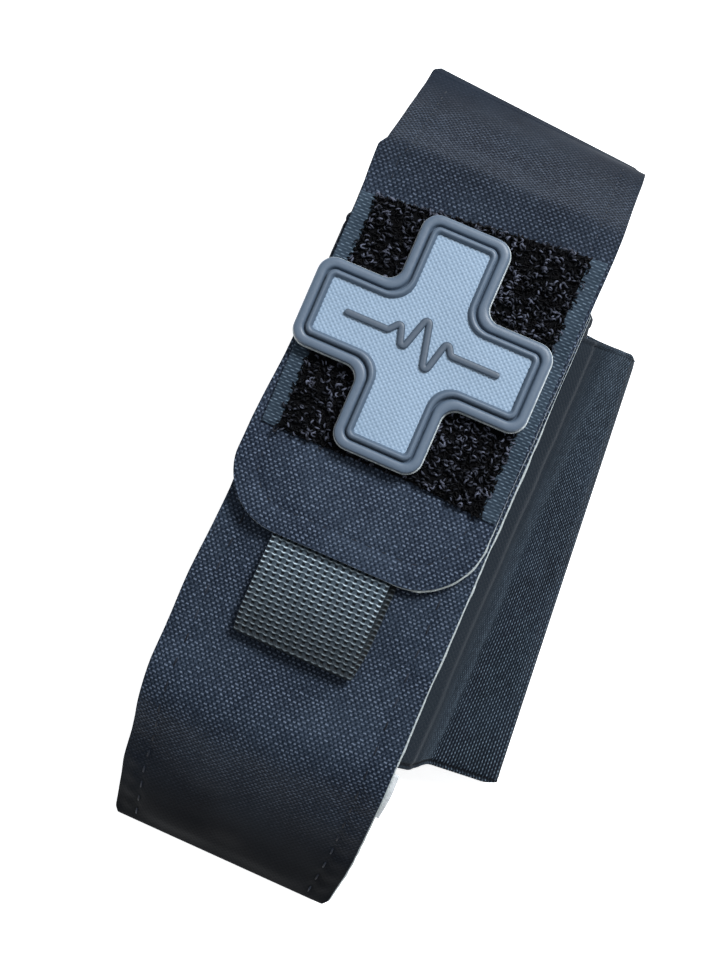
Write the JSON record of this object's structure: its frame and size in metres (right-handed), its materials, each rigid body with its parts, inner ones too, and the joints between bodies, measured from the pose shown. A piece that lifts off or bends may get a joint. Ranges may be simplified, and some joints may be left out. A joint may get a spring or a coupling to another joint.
{
  "type": "tourniquet pouch",
  "caption": "Nylon belt pouch with a hook-and-loop flap, rubber cross patch, pull tab, elastic shears sleeve and back straps, holding a folded windlass tourniquet.",
  "frame": {"origin": "under the middle of the bounding box, on the surface the pouch lies on", "axes": "+Z out of the flap, +Y along the pouch towards the fold that the flap turns on, +X towards the shears sleeve"},
  "size_m": [0.077, 0.1793, 0.0472],
  "materials": {
    "nylon_laminate": "woven coated nylon, matt",
    "elastic": "ribbed woven elastic, matt",
    "webbing": "coarse ribbed nylon webbing",
    "loop_pile": "looped pile",
    "hook_tape": "moulded hooks",
    "patch_rubber": "moulded soft rubber, satin",
    "patch_field": "moulded soft rubber, fine texture",
    "snap_metal": "black lacquered brass",
    "label_white": "woven satin label",
    "tourniquet_webbing": "nylon webbing with loop face",
    "tourniquet_plastic": "moulded nylon, satin",
    "rod_alloy": "black anodised, matt"
  },
  "bodies": {
    "pouch": {"back_panel": "nylon_laminate", "front_panel": "nylon_laminate", "side_wall_left": "elastic", "side_wall_right": "elastic", "shears_sleeve": "elastic", "closure_loop_strip": "loop_pile", "side_label": "label_white", "back_webbing_anchor": "webbing", "back_webbing_upper": "webbing", "back_webbing_middle": "webbing", "back_webbing_lower": "webbing", "snap_stud_left": "snap_metal", "snap_stud_right": "snap_metal", "snap_eyelet_left": "snap_metal", "snap_eyelet_right": "snap_metal"},
    "flap": {"flap_panel": "nylon_laminate", "flap_loop_panel": "loop_pile", "flap_hook_strip": "hook_tape", "pull_tab_anchor": "webbing"},
    "pull_tab": {"pull_tab": "webbing"},
    "patch": {"patch_rim": "patch_rubber", "patch_field": "patch_field", "patch_pulse_line": "patch_rubber", "patch_hook_backing": "hook_tape"},
    "strap_left": {"belt_strap_left": "webbing", "snap_cap_left": "snap_metal", "snap_socket_left": "snap_metal"},
    "strap_right": {"belt_strap_right": "webbing", "snap_cap_right": "snap_metal", "snap_socket_right": "snap_metal"},
    "tourniquet": {"tourniquet_strap": "tourniquet_webbing", "inner_band": "tourniquet_webbing", "windlass_rod": "rod_alloy", "windlass_clip": "tourniquet_plastic", "time_strap": "label_white", "stabilizer_plate": "tourniquet_plastic", "tourniquet_buckle": "tourniquet_plastic", "strap_tip": "tourniquet_plastic"}
  },
  "joints": [
    {"name": "flap_hinge", "type": "hinge", "parent": "pouch", "child": "flap", "pos_m": [-0.0104, 0.089, 0.0058], "axis": [-1, 0, 0], "range_deg": [0, 126]},
    {"name": "tourniquet_slide", "type": "slide", "parent": "pouch", "child": "tourniquet", "axis": [0, 1, 0], "range_m": [0, 0.0275]},
    {"name": "pull_tab_hinge", "type": "hinge", "parent": "flap", "child": "pull_tab", "pos_m": [-0.0116, -0.0182, 0.03945], "axis": [-1, 0, 0], "range_deg": [0, 90]},
    {"name": "patch_pull", "type": "slide", "parent": "flap", "child": "patch", "axis": [0, 0, 1], "range_m": [0, 0.02]},
    {"name": "belt_strap_left_hinge", "type": "hinge", "parent": "pouch", "child": "strap_left", "pos_m": [-0.0234, 0.057, 0.00215], "axis": [1, 0, 0], "range_deg": [0, 85]},
    {"name": "belt_strap_right_hinge", "type": "hinge", "parent": "pouch", "child": "strap_right", "pos_m": [0.0026, 0.057, 0.00215], "axis": [1, 0, 0], "range_deg": [0, 85]}
  ],
  "couplings": [
    {"joint": "tourniquet_slide", "follows": "flap_hinge", "m_per_rad": 0.0125}
  ]
}
